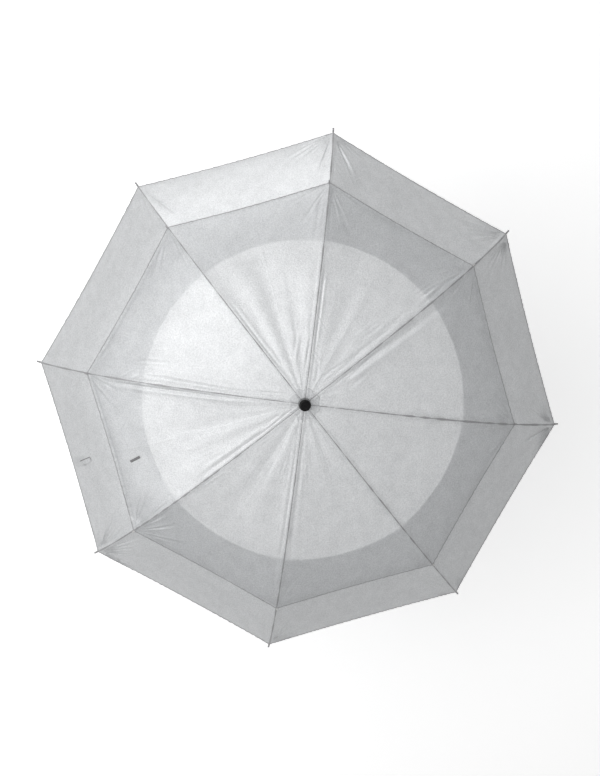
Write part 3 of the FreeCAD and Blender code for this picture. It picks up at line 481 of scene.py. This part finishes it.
# Dark strip colour that paints the shadow edge beside the strap's raised tape.
STRAP_SHADE = satin("strap_shade_cloth", (0.16, 0.16, 0.165), (0.26, 0.26, 0.265), 0.10, 0.2)
DOUBLED = satin("doubled_satin", (0.48, 0.49, 0.50), (0.68, 0.69, 0.70), 0.14)
TAB = satin("tab_cloth", (0.10, 0.10, 0.105), (0.17, 0.17, 0.175), 0.05, 0.1)
ELASTIC = satin("pale_elastic", (0.72, 0.72, 0.71), (0.86, 0.86, 0.85), 0.15, 0.0)
MOULDED = hard("moulded_black", (0.012, 0.012, 0.013), (0.03, 0.03, 0.032), 0.5, 600, 0.3)
STEEL = hard("wire_steel", (0.45, 0.45, 0.46), (0.65, 0.65, 0.67), 0.28, 400, 0.1, metallic=1.0)
SHAFT = hard("shaft_black", (0.02, 0.02, 0.022), (0.04, 0.04, 0.045), 0.3)
RUBBER = hard("grip_rubber", (0.015, 0.015, 0.017), (0.035, 0.035, 0.038), 0.75, 900, 0.5)
GLOSS = hard("cap_gloss", (0.003, 0.003, 0.003), (0.006, 0.006, 0.006), 0.14, 120, 0.03, level=0.12)
BUTTON = hard("button_grey", (0.25, 0.26, 0.28), (0.35, 0.36, 0.38), 0.35)


def capped_rod():
    """Black rod whose end caps, beyond the last rib radius, are moulded in grey."""
    material, nodes, links, shader = new_material("black_rod")
    place = nodes.new("ShaderNodeTexCoord").outputs["Object"]
    fine = noise(nodes, links, 240, 5, place)
    level = nodes.new("ShaderNodeVectorMath")
    level.operation = "MULTIPLY"
    level.inputs[1].default_value = (1, 1, 0)
    links.new(place, level.inputs[0])
    reach = nodes.new("ShaderNodeVectorMath")
    reach.operation = "LENGTH"
    links.new(level.outputs[0], reach.inputs[0])
    beyond = nodes.new("ShaderNodeMath")
    beyond.operation = "GREATER_THAN"
    beyond.inputs[1].default_value = TIP_START
    links.new(reach.outputs["Value"], beyond.inputs[0])
    rod = spread_colour(nodes, links, fine, (0.02, 0.02, 0.022), (0.05, 0.05, 0.055))
    cap = spread_colour(nodes, links, fine, (0.20, 0.20, 0.205), (0.32, 0.32, 0.325))
    mix = nodes.new("ShaderNodeMix")
    mix.data_type = "RGBA"
    links.new(beyond.outputs[0], mix.inputs["Factor"])
    links.new(rod, mix.inputs[6])
    links.new(cap, mix.inputs[7])
    links.new(mix.outputs[2], shader.inputs["Base Color"])
    shader.inputs["Roughness"].default_value = 0.35
    links.new(bump(nodes, links, fine, 0.15, 0.0003), shader.inputs["Normal"])
    return material


ROD = capped_rod()


def dress(node, material):
    obj = NODES[node]
    for slot in obj.material_slots:
        slot.material = material


for k in range(1, RIBS + 1):
    dress(f"rib_{k}", ROD)
    dress(f"stretcher_{k}", ROD)
for node in ("top_notch", "runner", "lock_collar"):
    dress(node, MOULDED)
for node in ("notch_wire", "runner_wire", "button_spring"):
    dress(node, STEEL)
dress("shaft", SHAFT)
dress("grip", RUBBER)
dress("ferrule_cap", GLOSS)
dress("runner_button", BUTTON)


# Canopy

def make_half_gore(gore, half, layer, trims):
    """Half a gore, a sheet from its inner edge to its hem that takes the place of its node."""
    hem, inner = (UPPER_HEM, CROWN_HOLE) if layer == "upper" else (LOWER_HEM, VENT)
    steps_out = round((hem - inner) / GRID)
    steps_across = round(hem * math.sin(HALF) / GRID)
    points, share, along, area = sheet_points(gore, half, layer, steps_out, steps_across)
    obj = grid_object(f"{layer}_cloth_{gore}_{half}", points, half == "a")
    obj.data.materials.append(UPPER if layer == "upper" else LOWER)
    node = f"{layer}_gore_{gore}_half_{half}"
    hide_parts(node)
    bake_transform(obj)
    away = 1 - share
    if layer == "upper":
        weight = (0.42 + 0.58 * along) * step(away, 0, 0.25) * step(along, 0, 0.06)
    else:
        weight = (0.80 + 0.20 * along) * step(away, 0, 0.2)
    weight = np.clip(weight, 0, 1).astype(np.float32)


def strip(name, centre, across_way, up_way, half_width, crown, material):
    """Thin crowned ribbon along a line of points."""
    offsets = np.linspace(-1, 1, 7)
    half_width = np.broadcast_to(half_width, len(centre))[:, None]
    rows = [
        centre + o * half_width * across_way + (1 - o * o) * crown * up_way
        for o in offsets
    ]
    obj = grid_object(name, np.stack(rows, axis=1), False)
    obj.data.materials.append(material)
    return obj


def make_seam(rib, layer):
    """The stitched seam over a rib, a dark corded line between the two welts that also paints the
    shade along the seam.
    """
    if layer == "upper":
        start, end, lift = SEAM_START, UPPER_HEM, UPPER_LIFT
    else:
        start, end, lift = VENT, LOWER_HEM, LOWER_LIFT
    x = np.linspace(start, end, 200)
    out_way, across_way = rib_directions(rib)
    centre = x[:, None] * out_way
    over_patch = TRIM_RISE * (1 - step(x, 0.036, 0.042))
    centre[:, 2] = rib_height(x, lift) + 0.0005 + over_patch
    width = SEAM_HALF_WIDTH + 0.0004 * ripple(x, rib * 7 + (layer == "upper"), 0.03, 0.12, 4)
    width = np.clip(width, SEAM_LEAST, SEAM_MOST) * (0.6 + 0.4 * step(x, 0.04, 0.22))
    width = width * (1 + SEAM_SPREAD[rib - 1] * step(x, 0.15, 0.35))
    obj = strip(f"{layer}_seam_{rib}", centre, across_way, UP, width, SEAM_CROWN, CORD_AND_SHADE)
    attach(obj, f"rib_{rib}")
    return obj


def make_hem_shade_cord(gore, half, layer):
    """The dark stitched edge along the hem of one half gore, which also paints the shadow line
    under the hem.
    """
    hem = UPPER_HEM if layer == "upper" else LOWER_HEM
    side = 1 if half == "a" else -1
    share = np.linspace(0, 1, 110)
    out = hem_line(hem, share)
    offsets = np.linspace(0, 1, 5)
    inward = out[:, None] - HEM_SHADE_CORD_INSET - HEM_SHADE_CORD_WIDTH * offsets
    across = side * share[:, None] * inward * math.tan(HALF)
    raised = EDGE_RISE + HEM_SHADE_CORD_RISE * (1 - (2 * offsets - 1) ** 2) + 0 * across
    points = cloth_points(gore, layer, inward, across, raised)
    obj = grid_object(f"{layer}_hem_{gore}_{half}", points, half == "b")
    obj.data.materials.append(CORD_AND_SHADE)
    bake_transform(obj)
    return obj


def patch_reach(azimuth):
    """Level radius of the crown patch's scalloped edge."""
    lobe = (azimuth - LOBE_TURN + GORE / 2) % GORE - GORE / 2
    side = LOBE_CENTRE * np.sin(lobe)
    bulge = LOBE_CENTRE * np.cos(lobe) + np.sqrt(np.maximum(LOBE_RADIUS ** 2 - side ** 2, 0))
    return np.where(np.abs(side) < LOBE_RADIUS, np.maximum(bulge, PATCH_RADIUS), PATCH_RADIUS)


def make_patch():
    """The scalloped patch sewn on round the ferrule. Its edge is turned down to the cloth."""
    rings = np.append(np.linspace(0, 1, 22), 1.0)[:, None]
    azimuth = np.linspace(0, math.tau, 321)[None, :]
    edge = patch_reach(azimuth)
    radius = CROWN_HOLE + 0.001 + rings * (edge - CROWN_HOLE - 0.001)
    azimuth = azimuth + 0 * radius
    gore = (np.floor(-azimuth / GORE) % RIBS).astype(int) + 1
    last = np.arange(len(rings))[:, None] == len(rings) - 1
    above = np.where(last, EDGE_RISE, TRIM_RISE)
    points = np.zeros(radius.shape + (3,))
    for number in range(1, RIBS + 1):
        mine = gore == number
        turn = azimuth[mine] + GORE * (number - 1) + HALF
        out, across = radius[mine] * np.cos(turn), radius[mine] * np.sin(turn)
        points[mine] = cloth_points(number, "upper", out, across, (above + 0 * radius)[mine])
    points[:, -1] = points[:, 0]
    obj = grid_object("scalloped_patch", points, False)
    obj.data.materials.append(PATCH)
    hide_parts("crown_patch")
    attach(obj, "shaft_assembly")


def cloth_band(name, layer, start, end, count, half_width, above, material, free=False):
    """Straight strip of cloth on MARKED_GORE, from start to end as (out, across).

    Its edges lie down on the cloth unless it is free."""
    line = np.array([
        (start[0] + (end[0] - start[0]) * t, start[1] + (end[1] - start[1]) * t)
        for t in np.linspace(0, 1, count)
    ])
    run = np.gradient(line, axis=0)
    run /= np.linalg.norm(run, axis=1)[:, None]
    side = np.stack([-run[:, 1], run[:, 0]], axis=1)
    offsets = np.linspace(-1, 1, 9)
    spots = line[:, None] + side[:, None] * (offsets * half_width)[None, :, None]
    fall = 0 if free else offsets ** 8
    above = above + np.zeros(count)
    raised = above[:, None] * (1 - fall + 0 * offsets)[None, :] + EDGE_RISE
    points = cloth_points(MARKED_GORE, layer, spots[..., 0], spots[..., 1], raised)
    obj = grid_object(name, points, False)
    obj.data.materials.append(material)
    return obj


def make_strap():
    """The closing strap: a stitched reinforcement at the hem, a tape that loops up from it, and a
    dark strip under the tape that paints its shadow edge.
    """
    base = cloth_band(
        "strap_base", "lower", (0.5885, 0.0110), (0.5585, 0.0110),
        count=24, half_width=0.0125, above=TRIM_RISE, material=DOUBLED,
    )
    lift = 0.0008 + 0.0032 * np.sin(np.pi * np.linspace(0, 1, 40)) ** 2
    tape = cloth_band(
        "strap_tape", "lower", (0.5780, 0.0190), (0.5390, 0.0095),
        count=40, half_width=0.0050, above=lift, material=DOUBLED, free=True,
    )
    # A dark strip, wider than the tape and lying under it, paints the tape's shadow edge.
    back = cloth_band(
        "strap_shadow_edge", "lower", (0.5770, 0.0165), (0.5392, 0.0082),
        count=40, half_width=0.0058, above=lift * 0.3, material=STRAP_SHADE, free=True,
    )
    for piece in (base, tape, back):
        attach(piece, "lower_gore_6_half_a")
    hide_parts("closing_strap")


def make_tab():
    """A small dark blank tab sewn on the upper canopy. Its declared width is the least allowed."""
    tab = cloth_band(
        "blank_tab", "upper", (0.4345, 0.0304), (0.4092, 0.0241),
        count=20, half_width=0.0032, above=0.0007, material=TAB,
    )
    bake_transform(tab)


def make_corner_tack(rib):
    """The short elastic that ties the upper canopy's corner down to the lower seam."""
    x = np.linspace(UPPER_HEM - 0.003, UPPER_HEM + 0.006, 12)
    out_way, across_way = rib_directions(rib)
    centre = x[:, None] * out_way + 0.0018 * across_way
    falling = step(x, UPPER_HEM, UPPER_HEM + 0.008)
    material = ELASTIC if rib in PALE_TACKS else CORD_AND_SHADE
    on_upper = rib_height(x, UPPER_LIFT + 0.0014)
    on_lower = rib_height(x, LOWER_LIFT + 0.0012)
    centre[:, 2] = on_upper * (1 - falling) + on_lower * falling
    obj = strip(f"corner_tack_{rib}", centre, across_way, UP, TACK_HALF_WIDTH, SEAM_CROWN, material)
    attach(obj, f"rib_{rib}")
    return obj


for gore in range(1, RIBS + 1):
    tack = make_corner_tack(gore)
    for layer in ("upper", "lower"):
        seam = make_seam(gore, layer)
        trims = [seam, tack] if layer == "upper" else [seam]
        make_half_gore(gore, "a", layer, trims + [make_hem_shade_cord(gore, "a", layer)])
        make_half_gore(gore, "b", layer, [make_hem_shade_cord(gore, "b", layer)])
make_patch()
make_strap()
make_tab()


# Stage, light and camera

FLOOR_GLOW = 0.55
FLOOR_HALF = 20


def sees_background(nodes, links):
    """1 for the rays that see the pale background: from the camera, in gloss and through cloth."""
    path = nodes.new("ShaderNodeLightPath")
    seen = path.outputs["Is Camera Ray"]
    for kind in ("Is Glossy Ray", "Is Transmission Ray"):
        either = nodes.new("ShaderNodeMath")
        either.operation = "MAXIMUM"
        links.new(seen, either.inputs[0])
        links.new(path.outputs[kind], either.inputs[1])
        seen = either.outputs[0]
    return seen


def make_stage():
    mesh = bpy.data.meshes.new("floor")
    corners = [(x * FLOOR_HALF, y * FLOOR_HALF, 0) for x, y in ((-1, -1), (1, -1), (1, 1), (-1, 1))]
    mesh.from_pydata(corners, [], [(0, 1, 2, 3)])
    floor = bpy.data.objects.new("floor", mesh)
    bpy.context.scene.collection.objects.link(floor)
    floor.location.z = CAD_BOX[0].z
    material, nodes, links, shader = new_material("floor_white")
    shader.inputs["Base Color"].default_value = (0.85, 0.85, 0.85, 1)
    shader.inputs["Roughness"].default_value = 0.9
    glow = nodes.new("ShaderNodeMath")
    glow.operation = "MULTIPLY"
    glow.inputs[1].default_value = FLOOR_GLOW
    links.new(sees_background(nodes, links), glow.inputs[0])
    shader.inputs["Emission Color"].default_value = (1, 1, 1, 1)
    links.new(glow.outputs[0], shader.inputs["Emission Strength"])
    floor.data.materials.append(material)


def make_world(ambient):
    """Plain ambient light, and a white background of strength 1 for the rays that see it."""
    world = bpy.data.worlds.new("studio")
    bpy.context.scene.world = world
    world.use_nodes = True
    nodes, links = world.node_tree.nodes, world.node_tree.links
    light = nodes["Background"]
    light.inputs["Color"].default_value = (1, 1, 1, 1)
    light.inputs["Strength"].default_value = ambient
    white = nodes.new("ShaderNodeBackground")
    white.inputs["Color"].default_value = (1, 1, 1, 1)
    mix = nodes.new("ShaderNodeMixShader")
    links.new(sees_background(nodes, links), mix.inputs["Fac"])
    links.new(light.outputs[0], mix.inputs[1])
    links.new(white.outputs[0], mix.inputs[2])
    links.new(mix.outputs[0], nodes["World Output"].inputs["Surface"])


def make_lamp(name, azimuth, elevation, distance, size, energy):
    """Square soft box aimed at the crown, with its azimuth anticlockwise from +X, in degrees."""
    data = bpy.data.lights.new(name, "AREA")
    data.shape = "SQUARE"
    data.size = size
    data.energy = energy
    lamp = bpy.data.objects.new(name, data)
    bpy.context.scene.collection.objects.link(lamp)
    a, e = math.radians(azimuth), math.radians(elevation)
    way = Vector((math.cos(a) * math.cos(e), math.sin(a) * math.cos(e), math.sin(e)))
    target = Vector((0, 0, PIVOT.z - 0.1))
    lamp.location = target + way * distance
    lamp.rotation_mode = "QUATERNION"
    lamp.rotation_quaternion = (-way).to_track_quat("-Z", "Y")


def make_camera():
    """Almost straight above the crown, turned so that rib 1 points up the picture."""
    tip_forward, tip_sideways, roll = (math.radians(a) for a in (5.788, 2.182, 82.894))
    turn = (
        Matrix.Rotation(tip_forward, 3, "X")
        @ Matrix.Rotation(tip_sideways, 3, "Y")
        @ Matrix.Rotation(roll, 3, "Z")
    )
    distance = 3.0
    hem_corner = Vector((0, 0, float(rib_height(np.array(LOWER_HEM), LOWER_LIFT))))
    data = bpy.data.cameras.new("camera")
    data.sensor_width = 36
    data.lens = 55.46
    data.shift_x = -0.0008
    data.shift_y = 0.0074
    data.clip_end = 50
    camera = bpy.data.objects.new("camera", data)
    bpy.context.scene.collection.objects.link(camera)
    facing = turn.transposed()
    place = Matrix.Translation(hem_corner + facing @ Vector((0, 0, distance)))
    camera.matrix_world = place @ facing.to_4x4()
    bpy.context.scene.camera = camera


make_stage()
make_world(0.16)
make_lamp("high", 67.1, 68, 4.0, 3.0, 56)
make_lamp("key", 67.1, 40, 4.0, 3.0, 20)
make_lamp("left", 112.1, 40, 4.0, 3.0, 45)
make_lamp("low", 22.1, 12, 4.0, 3.0, 45)
make_camera()
bpy.context.scene.view_settings.view_transform = "Standard"
